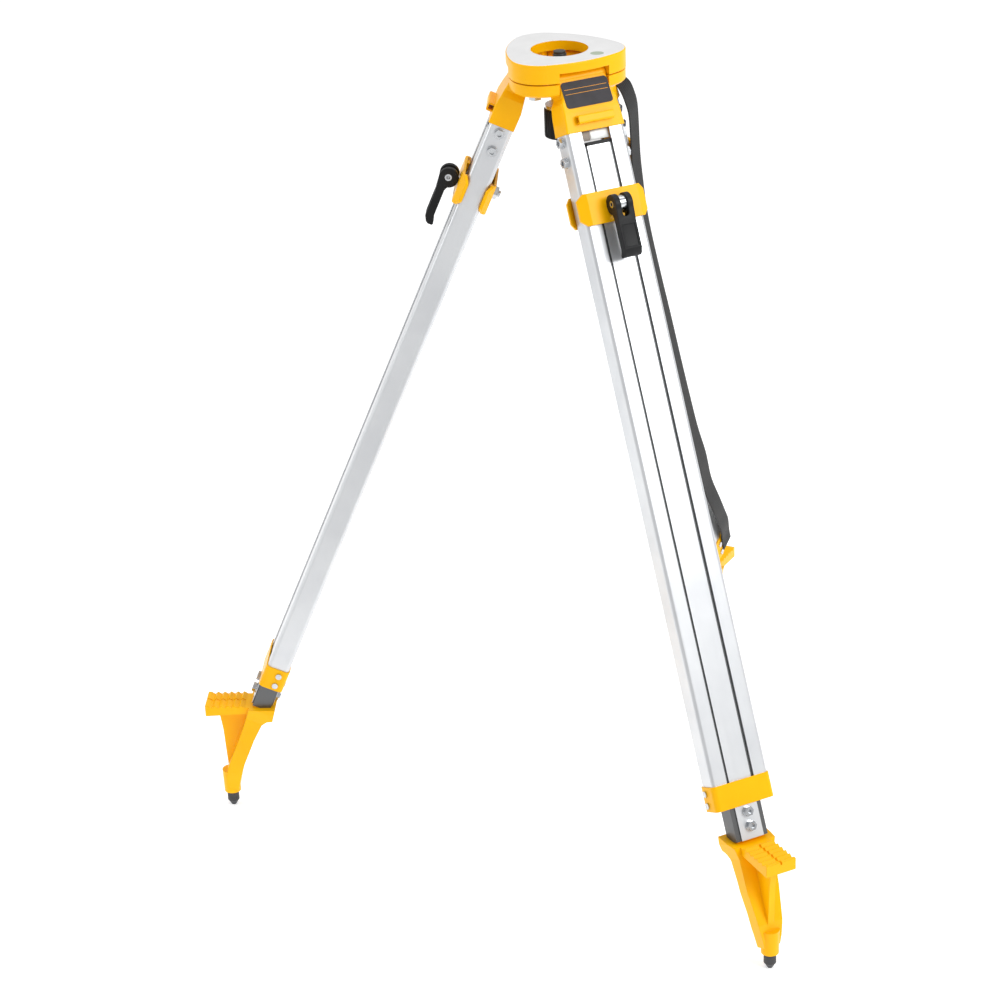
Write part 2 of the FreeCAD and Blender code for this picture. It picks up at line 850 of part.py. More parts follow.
def make_foot():
    front, down = ground_point()
    valley = prism(
        [
            V(30, -9, -foot_top_front - 14),
            V(30, 9, -foot_top_front - 14),
            V(6, 0, -foot_top_front - 14),
        ],
        V(2, 0, -84),
    )
    shank = rod(point_shank_r, V(0, 0, point_height - 0.01), V(0, 0, point_shank))
    body = make_foot_body().cut(valley)
    foot = body.fuse([make_foot_boss(), make_step()])
    holes = front_holes(bolt_r + bolt_hole_play, foot_bolts)
    inner = tube_section(tube_start, tube_end - tube_start, 0)
    trim = inner.cut(tube_section(tube_start - 1, tube_end - tube_start + 2, tube_wall + spigot_play))
    base = box(-60, 60, -40, 40, -300, point_height)
    foot = foot.cut([stand_up(shank, front, down), stand_up(base, front, down), trim] + holes)
    return foot.removeSplitter()


def make_foot_point():
    """Blunt point, cylindrical with a coned nose, screwed up into the casting."""
    front, down = ground_point()
    outline = [
        V(0, 0, 0),
        V(point_end_r, 0, 0),
        V(point_r - 1.5, 0, point_cone - 2),
        V(point_r, 0, point_cone),
        V(point_r, 0, point_height),
        V(point_shank_r, 0, point_height),
        V(point_shank_r, 0, point_height + point_shank - 2),
        V(0, 0, point_height + point_shank - 2),
    ]
    face = Part.Face(Part.makePolygon(outline + [outline[0]]))
    return stand_up(face.revolve(V(0, 0, 0), V(0, 0, 1), 360), front, down)


def make_label():
    """Thin plate lying on the bracket's sloping front panel."""
    slope = math.degrees(math.atan2(panel_front(bracket_knee) - panel_front(0), bracket_knee))
    plate = box(0, label_thickness, -label_width / 2, label_width / 2, -label_height, 0)
    edges = [e for e in plate.Edges if abs(e.Length - label_thickness) < 0.01]
    plate = plate.makeFillet(label_corner, edges)
    plate.rotate(V(0, 0, 0), V(0, 1, 0), -slope)
    plate.translate(V(panel_front(label_start), 0, -label_start))
    return plate


def make_strap():
    """Webbing from the bracket's side, clear of the clamp's ends, to the bottom band.

    Each stop gives the distance out to the side, the place between front and rear, and the
    distance below the top of the rails."""
    clear = clamp_half + strap_clear
    foot_side = rail_half + band_gap + band_wall
    band_top = band_start - rail_start
    stops = [
        (bracket_half_mid + 3.0, 20.0, -24.0),
        (bracket_half_mid + 3.0, 20.0, -4.0),
        (clear + 2.0, 19.5, 12.0),
        (clear + 1.0, 19.5, 38.0),
        (clear + 1.0, 4.0, 85.0),
        (clear + 2.0, -5.0, 118.0),
        (clear, strap_rear, 190.0),
        (clear, strap_rear, 520.0),
        (clear + 0.5 * strap_bulge, strap_rear + 3.0, 575.0),
        (clear, strap_rear + 4.0, 630.0),
        (clear + strap_bulge, strap_rear + 12.0, 685.0),
        (clear, strap_rear + 21.0, band_top - 20.0),
        (foot_side, strap_rear + 25.0, band_top + 2.0),
        (foot_side, strap_rear + 25.0, band_top + band_height - 3.0),
    ]
    half = strap_width / 2
    sections = []
    for side, middle, down in stops:
        corners = [
            V(middle + x, -(side + y), -rail_start - down)
            for x, y in ((-half, 0), (half, 0), (half, strap_thickness), (-half, strap_thickness))
        ]
        sections.append(Part.makePolygon(corners + corners[:1]))
    return Part.makeLoft(sections, True, True)


def mirrored_front_to_rear(shape):
    return shape.mirror(V(0, 0, 0), V(1, 0, 0))


def make_legs():
    plate = make_clamp_plate()
    pin = rod(pin_r, V(0, -pin_half, 0), V(0, 2 * pin_half, 0))
    pieces = {
        "hinge_pin": pin,
        "hinge_bracket": make_bracket(),
        "rail_left": make_rail(1),
        "rail_right": make_rail(-1),
        "frame_fasteners": make_frame_fasteners(),
        "bottom_band": make_band(),
        "inner_tube": make_tube(),
        "tube_cap": make_tube_cap(),
        "clamp_plate_front": plate,
        "clamp_plate_rear": mirrored_front_to_rear(plate),
        "clamp_bolt": make_clamp_bolt(),
        "lever_pin": make_lever_pin(),
        "cam_lever": make_lever(),
        "foot": make_foot(),
        "foot_bolts": make_foot_bolts(),
        "foot_point": make_foot_point(),
    }
    for leg, azimuth in leg_angles.items():
        for name, shape in pieces.items():
            nodes[f"{leg}_{name}"] = on_leg(shape, azimuth)
    nodes["label_plate"] = on_leg(make_label(), leg_angles["leg_b"])
    nodes["carrying_strap"] = on_leg(make_strap(), leg_angles["leg_c"])


def make_head_pieces():
    screw = make_screw()
    bush, sleeve = make_guide()
    nodes["head_casting"] = make_head()
    nodes["hinge_caps"] = make_caps()
    nodes["cap_bolts"] = make_cap_bolts()
    nodes["swing_arm"] = make_arm()
    nodes["arm_pivot_screw"] = make_arm_pivot()
    nodes["guide_bush"] = bush
    nodes["guide_sleeve"] = sleeve
    nodes["fixing_screw"] = screw
    nodes["screw_collar"] = make_collar()
    nodes["screw_knob"] = make_knob(screw)


make_head_pieces()
make_legs()
os.makedirs("parts", exist_ok=True)
for name, shape in nodes.items():
    shape.exportStep(f"parts/{name}.step")
    print(name, len(shape.Solids), shape.isValid(), round(shape.Volume / 1000, 2), "cm3")
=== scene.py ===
import json
import math
import bpy
from mathutils import Matrix, Vector


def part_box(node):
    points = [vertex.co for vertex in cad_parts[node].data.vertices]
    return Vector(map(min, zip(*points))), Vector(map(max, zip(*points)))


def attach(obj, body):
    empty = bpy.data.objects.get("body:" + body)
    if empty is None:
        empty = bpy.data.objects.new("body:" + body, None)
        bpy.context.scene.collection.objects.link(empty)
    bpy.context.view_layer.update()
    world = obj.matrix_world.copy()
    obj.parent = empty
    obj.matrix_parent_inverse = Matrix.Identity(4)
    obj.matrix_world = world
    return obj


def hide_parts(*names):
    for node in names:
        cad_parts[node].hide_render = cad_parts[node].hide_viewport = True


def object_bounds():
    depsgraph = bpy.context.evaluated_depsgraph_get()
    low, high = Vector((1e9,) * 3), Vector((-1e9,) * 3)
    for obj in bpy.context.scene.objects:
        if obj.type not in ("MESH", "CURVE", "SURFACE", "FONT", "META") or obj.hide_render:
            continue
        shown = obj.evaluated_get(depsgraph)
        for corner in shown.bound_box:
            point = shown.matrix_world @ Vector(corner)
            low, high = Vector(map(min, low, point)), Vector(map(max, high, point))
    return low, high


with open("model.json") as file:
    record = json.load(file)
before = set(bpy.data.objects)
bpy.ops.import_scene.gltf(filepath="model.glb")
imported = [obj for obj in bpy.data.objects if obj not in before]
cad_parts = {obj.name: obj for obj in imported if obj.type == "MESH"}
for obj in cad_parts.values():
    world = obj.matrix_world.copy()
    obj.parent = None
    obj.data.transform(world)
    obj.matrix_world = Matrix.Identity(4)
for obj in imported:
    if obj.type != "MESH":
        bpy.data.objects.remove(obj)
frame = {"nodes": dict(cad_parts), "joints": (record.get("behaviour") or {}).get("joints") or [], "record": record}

cadBox = [list(corner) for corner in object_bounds()]
mm = 0.001
legNames = ["leg_a", "leg_b", "leg_c"]
joints = {j["name"]: j for j in frame["joints"]}
print("frame loaded:", len(frame["nodes"]), "nodes")


def hexColor(code):
    # sRGB hex to linear RGBA
    parts = [int(code[i:i + 2], 16) / 255 for i in (0, 2, 4)]
    linear = [c / 12.92 if c <= 0.04045 else ((c + 0.055) / 1.055) ** 2.4 for c in parts]
    return (*linear, 1.0)


def addNode(tree, kind, settings=None, links=None):
    # settings: input or attribute -> value, "stops" -> ramp colours; links: input -> socket or node
    node = tree.nodes.new(kind)
    for key, value in (settings or {}).items():
        if key == "stops":
            for element, (place, code) in zip(node.color_ramp.elements, value):
                element.position = place
                element.color = hexColor(code)
        elif isinstance(key, int) or key in node.inputs:
            node.inputs[key].default_value = value
        else:
            setattr(node, key, value)
    for key, source in (links or {}).items():
        socket = source.outputs[0] if hasattr(source, "outputs") else source
        tree.links.new(socket, node.inputs[key])
    return node


def newMaterial(name):
    # a material with its shader and its object coordinates ready
    material = bpy.data.materials.new(name)
    material.use_nodes = True
    tree = material.node_tree
    tree.nodes.clear()
    shader = addNode(tree, "ShaderNodeBsdfPrincipled")
    addNode(tree, "ShaderNodeOutputMaterial", links={"Surface": shader})
    coords = addNode(tree, "ShaderNodeTexCoord").outputs["Object"]
    return material, tree, shader, coords


def connect(tree, shader, links):
    for key, source in links.items():
        tree.links.new(source.outputs[0], shader.inputs[key])


def roundedBump(tree, shader, height, depth, strength, edge):
    # fine relief over edges that catch the light as if rounded
    bevel = addNode(tree, "ShaderNodeBevel", {"samples": 6, "Radius": edge})
    bump = addNode(
        tree, "ShaderNodeBump", {"Distance": depth, "Strength": strength},
        {"Height": height, "Normal": bevel},
    )
    connect(tree, shader, {"Normal": bump})


def overlay(tree, shader, mask, code):
    # a second colour laid over the base colour where the mask is 1
    under = shader.inputs["Base Color"].links[0].from_socket
    mix = addNode(
        tree, "ShaderNodeMix", {"data_type": "RGBA", 7: hexColor(code)}, {0: mask, 6: under},
    )
    tree.links.new(mix.outputs[2], shader.inputs["Base Color"])


def legMatrix(leg):
    # X out of the leg's front, Y across it, Z up along it, origin at the hinge pin
    front = Vector(joints[leg + "_plate_release"]["axis"])
    up = -Vector(joints[leg + "_extend"]["axis"])
    across = up.cross(front)
    place = Vector(joints[leg + "_fold"]["pos_m"])
    matrix = Matrix((front, across, up)).transposed().to_4x4()
    matrix.translation = place
    return matrix


legPlaces = {leg: legMatrix(leg) for leg in legNames}


def localBox(node, leg):
    # a node's lowest and highest corners, in its leg's frame
    back = legPlaces[leg].inverted()
    points = [back @ v.co for v in frame["nodes"][node].data.vertices]
    low = Vector([min(p[i] for p in points) for i in range(3)])
    high = Vector([max(p[i] for p in points) for i in range(3)])
    return low, high


def legCoords(tree, coords, leg):
    # a point's place in the leg's own frame: X to the front, Y across, Z up the leg
    back = legPlaces[leg].inverted()
    turn, shift = back.to_euler()[:], back.translation[:]
    return addNode(
        tree, "ShaderNodeMapping", {"vector_type": "POINT", "Rotation": turn, "Location": shift},
        {"Vector": coords},
    )


def yellowEnamel(name="Yellow gloss enamel on die-cast aluminium"):
    # a thick smooth film: soft gloss, faint orange peel, slightly deeper colour in the blotches
    material, tree, shader, coords = newMaterial(name)
    cloud = addNode(
        tree, "ShaderNodeTexNoise", {"Scale": 1 / (45 * mm), "Detail": 4.0}, {"Vector": coords},
    )
    peel = addNode(
        tree, "ShaderNodeTexNoise", {"Scale": 1 / (1.6 * mm), "Detail": 2.0}, {"Vector": coords},
    )
    tone = addNode(
        tree, "ShaderNodeValToRGB", {"stops": [(0.3, "FBB600"), (0.7, "FFBE00")]}, {"Fac": cloud},
    )
    rough = addNode(
        tree, "ShaderNodeMapRange", {"To Min": 0.27, "To Max": 0.36}, {"Value": cloud},
    )
    connect(tree, shader, {"Base Color": tone, "Roughness": rough})
    shader.inputs["IOR"].default_value = 1.5
    shader.inputs["Specular IOR Level"].default_value = 0.16
    shader.inputs["Coat Weight"].default_value = 0.04
    shader.inputs["Coat Roughness"].default_value = 0.12
    roundedBump(tree, shader, peel, 0.05 * mm, 0.25, 0.9 * mm)
    return material


facedTop = {"from": -0.12 * mm, "marks": 5.0 * mm}
sticker = {"place": (42 * mm, -23 * mm, 0), "radii": (7.6 * mm, 6.9 * mm, 1), "color": "B9C6B0"}


def headFinish():
    # the same enamel, machined away on the top face, where fine facing marks run in arcs
    material = yellowEnamel("Enamelled casting with a faced aluminium top")
    tree = material.node_tree
    shader = tree.nodes["Principled BSDF"]
    coords = addNode(tree, "ShaderNodeTexCoord").outputs["Object"]
    split = addNode(tree, "ShaderNodeSeparateXYZ", links={"Vector": coords})
    level = addNode(
        tree, "ShaderNodeMath", {"operation": "GREATER_THAN", 1: facedTop["from"]},
        {0: split.outputs["Z"]},
    )
    rings = addNode(
        tree, "ShaderNodeTexWave",
        {
            "wave_type": "RINGS", "rings_direction": "Z", "Scale": 1 / facedTop["marks"],
            "Distortion": 0.6,
        },
        {"Vector": coords},
    ).outputs["Fac"]
    cloud = addNode(
        tree, "ShaderNodeTexNoise", {"Scale": 1 / (30 * mm), "Detail": 3.0}, {"Vector": coords},
    )
    metal = addNode(
        tree, "ShaderNodeValToRGB", {"stops": [(0.3, "F1F1F1"), (0.7, "F8F8F8")]}, {"Fac": cloud},
    )
    paint = shader.inputs["Base Color"].links[0].from_socket
    color = addNode(
        tree, "ShaderNodeMix", {"data_type": "RGBA"}, {0: level, 6: paint, 7: metal},
    )
    tree.links.new(color.outputs[2], shader.inputs["Base Color"])
    bare = addNode(tree, "ShaderNodeMath", {"operation": "MULTIPLY", 1: 0.6}, {0: level})
    satin = addNode(
        tree, "ShaderNodeMath", {"operation": "MULTIPLY_ADD", 1: 0.10, 2: 0.34}, {0: rings},
    )
    paintRough = shader.inputs["Roughness"].links[0].from_socket
    rough = addNode(
        tree, "ShaderNodeMix", {"data_type": "FLOAT"}, {0: level, 2: paintRough, 3: satin},
    )
    connect(tree, shader, {"Metallic": bare, "Roughness": rough})
    # a small oval sticker on the top face: inside the oval, distance over radius is under 1
    oval = addNode(
        tree, "ShaderNodeMapping",
        {"vector_type": "TEXTURE", "Location": sticker["place"], "Scale": sticker["radii"]},
        {"Vector": coords},
    )
    reach = addNode(tree, "ShaderNodeVectorMath", {"operation": "LENGTH"}, {0: oval}).outputs["Value"]
    inside = addNode(tree, "ShaderNodeMath", {"operation": "LESS_THAN", 1: 1.0}, {0: reach})
    patch = addNode(tree, "ShaderNodeMath", {"operation": "MULTIPLY"}, {0: inside, 1: level})
    overlay(tree, shader, patch, sticker["color"])
    return material


def anodisedExtrusion(leg):
    # clear-anodised extrusion: pale satin metal with fine die lines along the leg
    material, tree, shader, coords = newMaterial("Clear anodised aluminium extrusion, " + leg)
    stretched = addNode(
        tree, "ShaderNodeMapping", {"vector_type": "POINT", "Scale": (1, 1, 0.01)},
        {"Vector": legCoords(tree, coords, leg)},
    )
    lines = addNode(
        tree, "ShaderNodeTexNoise", {"Scale": 1 / (1.1 * mm), "Detail": 2.0}, {"Vector": stretched},
    )
    cloud = addNode(
        tree, "ShaderNodeTexNoise", {"Scale": 1 / (60 * mm), "Detail": 3.0}, {"Vector": coords},
    )
    tone = addNode(
        tree, "ShaderNodeValToRGB", {"stops": [(0.3, "D3D5D8"), (0.7, "DDDFE1")]}, {"Fac": cloud},
    )
    rough = addNode(
        tree, "ShaderNodeMapRange", {"To Min": 0.3, "To Max": 0.44}, {"Value": lines},
    )
    connect(tree, shader, {"Base Color": tone, "Roughness": rough})
    shader.inputs["Metallic"].default_value = 0.8
    roundedBump(tree, shader, lines, 0.02 * mm, 0.3, 0.5 * mm)
    return material


# the dark colour laid into the tube's grooves is painted shade
groove = {"inner": 14.05 * mm, "depth": 12.2 * mm, "cover": 0.9, "color": "4A4B4C"}


def grooveTube(leg):
    # the same extrusion, with painted shade darkening the grooves where the rails run
    material = anodisedExtrusion(leg)
    material.name = "Anodised inner tube with greased grooves, " + leg
    tree = material.node_tree
    shader = tree.nodes["Principled BSDF"]
    coords = addNode(tree, "ShaderNodeTexCoord").outputs["Object"]
    split = addNode(tree, "ShaderNodeSeparateXYZ", links={0: legCoords(tree, coords, leg)})
    side = addNode(tree, "ShaderNodeMath", {"operation": "ABSOLUTE"}, {0: split.outputs["Y"]})
    depth = addNode(tree, "ShaderNodeMath", {"operation": "ABSOLUTE"}, {0: split.outputs["X"]})
    beside = addNode(tree, "ShaderNodeMath", {"operation": "GREATER_THAN", 1: groove["inner"]}, {0: side})
    below = addNode(tree, "ShaderNodeMath", {"operation": "LESS_THAN", 1: groove["depth"]}, {0: depth})
    mask = addNode(tree, "ShaderNodeMath", {"operation": "MULTIPLY"}, {0: beside, 1: below})
    grooveShade = addNode(tree, "ShaderNodeMath", {"operation": "MULTIPLY", 1: groove["cover"]}, {0: mask})
    # painted shade in the grooves, laid over the metal's colour
    overlay(tree, shader, grooveShade, groove["color"])
    return material


def zincPlate():
    # bright zinc on steel: cool silver, a little cloudy
    material, tree, shader, coords = newMaterial("Bright zinc plated steel")
    cloud = addNode(
        tree, "ShaderNodeTexNoise", {"Scale": 1 / (6 * mm), "Detail": 3.0}, {"Vector": coords},
    )
    grain = addNode(
        tree, "ShaderNodeTexNoise", {"Scale": 1 / (1.2 * mm), "Detail": 3.0}, {"Vector": coords},
    )
    tone = addNode(
        tree, "ShaderNodeValToRGB", {"stops": [(0.3, "B9BCC0"), (0.7, "D2D4D6")]}, {"Fac": cloud},
    )
    rough = addNode(
        tree, "ShaderNodeMapRange", {"To Min": 0.18, "To Max": 0.32}, {"Value": cloud},
    )
    connect(tree, shader, {"Base Color": tone, "Roughness": rough})
    shader.inputs["Metallic"].default_value = 1.0
    roundedBump(tree, shader, grain, 0.02 * mm, 0.2, 0.4 * mm)
    return material


def blackNylon():
    # glass-filled nylon moulding: near-black, spark-eroded texture that scatters the light
    material, tree, shader, coords = newMaterial("Black glass-filled nylon moulding")
    grain = addNode(
        tree, "ShaderNodeTexNoise", {"Scale": 1 / (0.9 * mm), "Detail": 3.0}, {"Vector": coords},
    )
    cloud = addNode(
        tree, "ShaderNodeTexNoise", {"Scale": 1 / (20 * mm), "Detail": 3.0}, {"Vector": coords},
    )
    tone = addNode(
        tree, "ShaderNodeValToRGB", {"stops": [(0.3, "0E0F11"), (0.7, "141517")]}, {"Fac": cloud},
    )
    rough = addNode(
        tree, "ShaderNodeMapRange", {"To Min": 0.4, "To Max": 0.54}, {"Value": grain},
    )
    connect(tree, shader, {"Base Color": tone, "Roughness": rough})
    shader.inputs["IOR"].default_value = 1.53
    shader.inputs["Specular IOR Level"].default_value = 0.25
    roundedBump(tree, shader, grain, 0.06 * mm, 0.35, 0.8 * mm)
    return material


def blackOxide():
    # oiled black oxide on steel: dark grey metal with a soft shine
    material, tree, shader, coords = newMaterial("Black oxide steel")
    cloud = addNode(
        tree, "ShaderNodeTexNoise", {"Scale": 1 / (8 * mm), "Detail": 4.0}, {"Vector": coords},
    )
    grain = addNode(
        tree, "ShaderNodeTexNoise", {"Scale": 1 / (1.5 * mm), "Detail": 3.0}, {"Vector": coords},
    )
    tone = addNode(
        tree, "ShaderNodeValToRGB", {"stops": [(0.3, "3A3B3D"), (0.7, "4A4B4E")]}, {"Fac": cloud},
    )
    rough = addNode(
        tree, "ShaderNodeMapRange", {"To Min": 0.34, "To Max": 0.5}, {"Value": cloud},
    )
    connect(tree, shader, {"Base Color": tone, "Roughness": rough})
    shader.inputs["Metallic"].default_value = 0.6
    roundedBump(tree, shader, grain, 0.04 * mm, 0.3, 0.5 * mm)
    return material


def wovenWebbing():
    # polypropylene webbing: rows of twill across the strap, a slight sheen on the yarn
    material, tree, shader, _ = newMaterial("Black polypropylene webbing")
    uv = addNode(tree, "ShaderNodeUVMap", {"uv_map": "UVMap"})
    waves = [
        addNode(
            tree, "ShaderNodeTexWave",
            {"bands_direction": direction, "Scale": 0.314 / pitch, "Distortion": 0.3},
            {"Vector": uv},
        ).outputs["Fac"]
        for direction, pitch in (("X", 1.6 * mm), ("Y", 2.2 * mm))
    ]
    weave = addNode(
        tree, "ShaderNodeMath", {"operation": "MULTIPLY"}, {0: waves[0], 1: waves[1]},
    )
    tone = addNode(
        tree, "ShaderNodeValToRGB", {"stops": [(0.0, "070708"), (1.0, "151516")]}, {"Fac": weave},
    )
    bump = addNode(tree, "ShaderNodeBump", {"Distance": 0.4 * mm, "Strength": 0.6}, {"Height": weave})
    connect(tree, shader, {"Base Color": tone, "Normal": bump})
    shader.inputs["Roughness"].default_value = 0.72
    shader.inputs["Sheen Weight"].default_value = 0.08
    return material


# the label's ruled lines: how far down the label each is, half its length and thickness
rules = {"shares": (0.29, 0.47), "half": 26.5 * mm, "halfThickness": 0.28 * mm}


def printedLabel():
    # charcoal polyester label under a satin laminate, two thin ochre rules across its upper half
    material, tree, shader, coords = newMaterial("Printed polyester label")
    cloud = addNode(
        tree, "ShaderNodeTexNoise", {"Scale": 1 / (12 * mm), "Detail": 2.0}, {"Vector": coords},
    )
    grain = addNode(
        tree, "ShaderNodeTexNoise", {"Scale": 1 / (0.8 * mm), "Detail": 3.0}, {"Vector": coords},
    )
    tone = addNode(
        tree, "ShaderNodeValToRGB", {"stops": [(0.3, "2B292C"), (0.7, "343136")]}, {"Fac": cloud},
    )
    bump = addNode(
        tree, "ShaderNodeBump", {"Distance": 0.02 * mm, "Strength": 0.2}, {"Height": grain},
    )
    connect(tree, shader, {"Base Color": tone, "Normal": bump})
    shader.inputs["Roughness"].default_value = 0.42
    shader.inputs["Specular IOR Level"].default_value = 0.25
    low, high = localBox("label_plate", "leg_b")
    split = addNode(tree, "ShaderNodeSeparateXYZ", links={0: legCoords(tree, coords, "leg_b")})
    side = addNode(tree, "ShaderNodeMath", {"operation": "ABSOLUTE"}, {0: split.outputs["Y"]})
    within = addNode(tree, "ShaderNodeMath", {"operation": "LESS_THAN", 1: rules["half"]}, {0: side})
    for share in rules["shares"]:
        height = high.z - share * (high.z - low.z)
        line = addNode(
            tree, "ShaderNodeMath", {"operation": "COMPARE", 1: height, 2: rules["halfThickness"]},
            {0: split.outputs["Z"]},
        )
        rule = addNode(tree, "ShaderNodeMath", {"operation": "MULTIPLY"}, {0: line, 1: within})
        overlay(tree, shader, rule, "D9952F")
    return material


def plainSheetOrShade(name, darkCode, lightCode, metallic, rough):
    # bare sheet metal with faint cloudy handling marks; the same recipe also makes a flat sheet of painted shade
    material, tree, shader, coords = newMaterial(name)
    cloud = addNode(
        tree, "ShaderNodeTexNoise", {"Scale": 1 / (5 * mm), "Detail": 3.0}, {"Vector": coords},
    )
    tone = addNode(
        tree, "ShaderNodeValToRGB", {"stops": [(0.3, darkCode), (0.7, lightCode)]}, {"Fac": cloud},
    )
    dull = addNode(
        tree, "ShaderNodeMapRange", {"To Min": rough, "To Max": rough + 0.12}, {"Value": cloud},
    )
    connect(tree, shader, {"Base Color": tone, "Roughness": dull})
    shader.inputs["Metallic"].default_value = metallic
    return material


enamel = yellowEnamel()
steelCoat = yellowEnamel("Yellow powder coat on pressed steel")
headMetal = headFinish()
extrusions = {leg: anodisedExtrusion(leg) for leg in legNames}
tubes = {leg: grooveTube(leg) for leg in legNames}
label = printedLabel()
zinc = zincPlate()
nylon = blackNylon()
darkSteel = blackOxide()
webbing = wovenWebbing()
spacerAlloy = plainSheetOrShade("Mill-finish aluminium plate", "D2D5D3", "DEE0DE", 0.5, 0.42)
# painted shade: a brownish-grey sheet where the shaded interior between the rails shows
paintedShadeWeb = plainSheetOrShade("Brownish sheet of painted shade", "8A8078", "9C938B", 0.3, 0.55)
print("materials made")


def deselectAll():
    if bpy.context.object and bpy.context.object.mode != "OBJECT":
        bpy.ops.object.mode_set(mode="OBJECT")
    bpy.ops.object.select_all(action="DESELECT")


def only(piece):
    deselectAll()
    piece.select_set(True)
    bpy.context.view_layer.objects.active = piece


def editAll(piece, operate):
    # run an edit-mode step on the whole mesh
    only(piece)
    bpy.ops.object.mode_set(mode="EDIT")
    bpy.ops.mesh.select_all(action="SELECT")
    operate()
    bpy.ops.object.mode_set(mode="OBJECT")


def selectFaces(piece, test):
    # select faces by centre and normal, leaving the piece in edit mode
    only(piece)
    bpy.ops.object.mode_set(mode="EDIT")
    bpy.ops.mesh.select_mode(type="FACE")
    bpy.ops.mesh.select_all(action="DESELECT")
    bpy.ops.object.mode_set(mode="OBJECT")
    for face in piece.data.polygons:
        face.select = bool(test(face.center, face.normal))
    bpy.ops.object.mode_set(mode="EDIT")


def applyModifier(piece, kind, **settings):
    only(piece)
    modifier = piece.modifiers.new(kind.title(), kind)
    for key, value in settings.items():
        setattr(modifier, key, value)
    bpy.ops.object.modifier_apply(modifier=modifier.name)


def smooth(piece, degrees=30):
    only(piece)
    bpy.ops.object.shade_smooth_by_angle(angle=math.radians(degrees))


def finishPiece(piece, body, material, place=None):
    # carry the mesh to its place, dress it and let it ride on its body
    if place is not None:
        piece.data.transform(place)
    piece.data.materials.clear()
    piece.data.materials.append(material)
    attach(piece, body)
    return piece


def copyPiece(piece, name):
    twin = piece.copy()
    twin.data = piece.data.copy()
    twin.name = name
    bpy.context.scene.collection.objects.link(twin)
    return twin


def nodeBody(node):
    bodies = frame["record"]["behaviour"]["bodies"]
    return next(b for b, members in bodies.items() if node in members)


def slotOf(node):
    return next(s["material_slot"] for s in frame["record"]["subparts"] if s["node"] == node)


finishes = {
    "yellow_paint": enamel, "yellow_steel": steelCoat, "zinc": zinc, "black_plastic": nylon,
    "dark_steel": darkSteel, "label": label, "webbing": webbing,
}
for name, node in frame["nodes"].items():
    slot = slotOf(name)
    if name.endswith("inner_tube"):
        material = tubes[name[:5]]
    elif slot == "rail":
        material = extrusions[name[:5]]
    elif name == "head_casting":
        material = headMetal
    else:
        material = finishes[slot]
    for i in range(max(1, len(node.material_slots))):
        if len(node.data.materials) == 0:
            node.data.materials.append(material)
        node.material_slots[i].material = material
    only(node)
    bpy.ops.object.shade_smooth_by_angle(angle=math.radians(28))
print("finishes set")

# cam levers: softened mouldings with a sunk panel in the handle
leverStyle = {
    "panelMargin": 2.4 * mm, "panelDepth": 0.9 * mm, "panelSlope": 0.5 * mm, "edgeRound": 0.9 * mm,
    "handleShare": 0.45,
}


def tidyCopy(node, name):
    # a working copy of a CAD piece: welded, with flat faces whole again
    piece = copyPiece(frame["nodes"][node], name)
    piece.parent = None
    piece.matrix_world = Matrix.Identity(4)
    editAll(piece, lambda: bpy.ops.mesh.remove_doubles(threshold=0.002 * mm))
    editAll(piece, lambda: bpy.ops.mesh.dissolve_limited(angle_limit=math.radians(1.5)))
    return piece


def makeLever(leg):
    place = legPlaces[leg]
    front = place.to_3x3() @ Vector((1, 0, 0))
    back = place.inverted()
    low, high = localBox(leg + "_cam_lever", leg)
    handle = low.z + leverStyle["handleShare"] * (high.z - low.z)

    def frontPanel(centre, normal):
        spot = back @ centre
        return normal.dot(front) > 0.99 and spot.z < handle

    lever = tidyCopy(leg + "_cam_lever", leg + "_moulded_lever")
    selectFaces(lever, frontPanel)
    bpy.ops.mesh.inset(thickness=leverStyle["panelMargin"], depth=0)
    bpy.ops.mesh.inset(thickness=leverStyle["panelSlope"], depth=-leverStyle["panelDepth"])
    bpy.ops.object.mode_set(mode="OBJECT")
    applyModifier(
        lever, "BEVEL", width=leverStyle["edgeRound"], segments=3, limit_method="ANGLE",
        angle_limit=math.radians(35), use_clamp_overlap=True,
    )
    smooth(lever, 35)
    finishPiece(lever, leg + "_lever", nylon)
    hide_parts(leg + "_cam_lever")


for leg in legNames:
    makeLever(leg)
print("cam levers made")

# spacer plates seen between the rails under the bracket; the darker one is a sheet of painted shade
spacer = {
    "halfWidth": 17.2 * mm, "height": 10.8 * mm, "thickness": 1.6 * mm, "front": 8.6 * mm,
    "split": -6.0 * mm, "splitWidth": 0.8 * mm, "edgeRound": 0.4 * mm,
}


def makeSpacer(leg):
    # light alloy plate on the left; on the right a brownish web of painted shade, standing for the shaded interior
    # seen there, with a joint between
    top = localBox(leg + "_rail_left", leg)[1].z
    for name, edges, material in (
        ("plate", (spacer["split"] + spacer["splitWidth"] / 2, spacer["halfWidth"]), spacerAlloy),
        ("web", (-spacer["halfWidth"], spacer["split"] - spacer["splitWidth"] / 2), paintedShadeWeb),
    ):
        deselectAll()
        bpy.ops.mesh.primitive_cube_add(size=1, location=(0, 0, 0))
        piece = bpy.context.object
        piece.name = leg + "_spacer_" + name
        width = edges[1] - edges[0]
        scale = Matrix.Diagonal((spacer["thickness"], width, spacer["height"], 1))
        centre = Vector((spacer["front"], (edges[0] + edges[1]) / 2, top - spacer["height"] / 2))
        piece.data.transform(Matrix.Translation(centre) @ scale)
        applyModifier(piece, "BEVEL", width=spacer["edgeRound"], segments=2)
        smooth(piece, 35)
        finishPiece(piece, leg + "_frame", material, legPlaces[leg])


for leg in legNames:
    makeSpacer(leg)
print("spacer plates made")

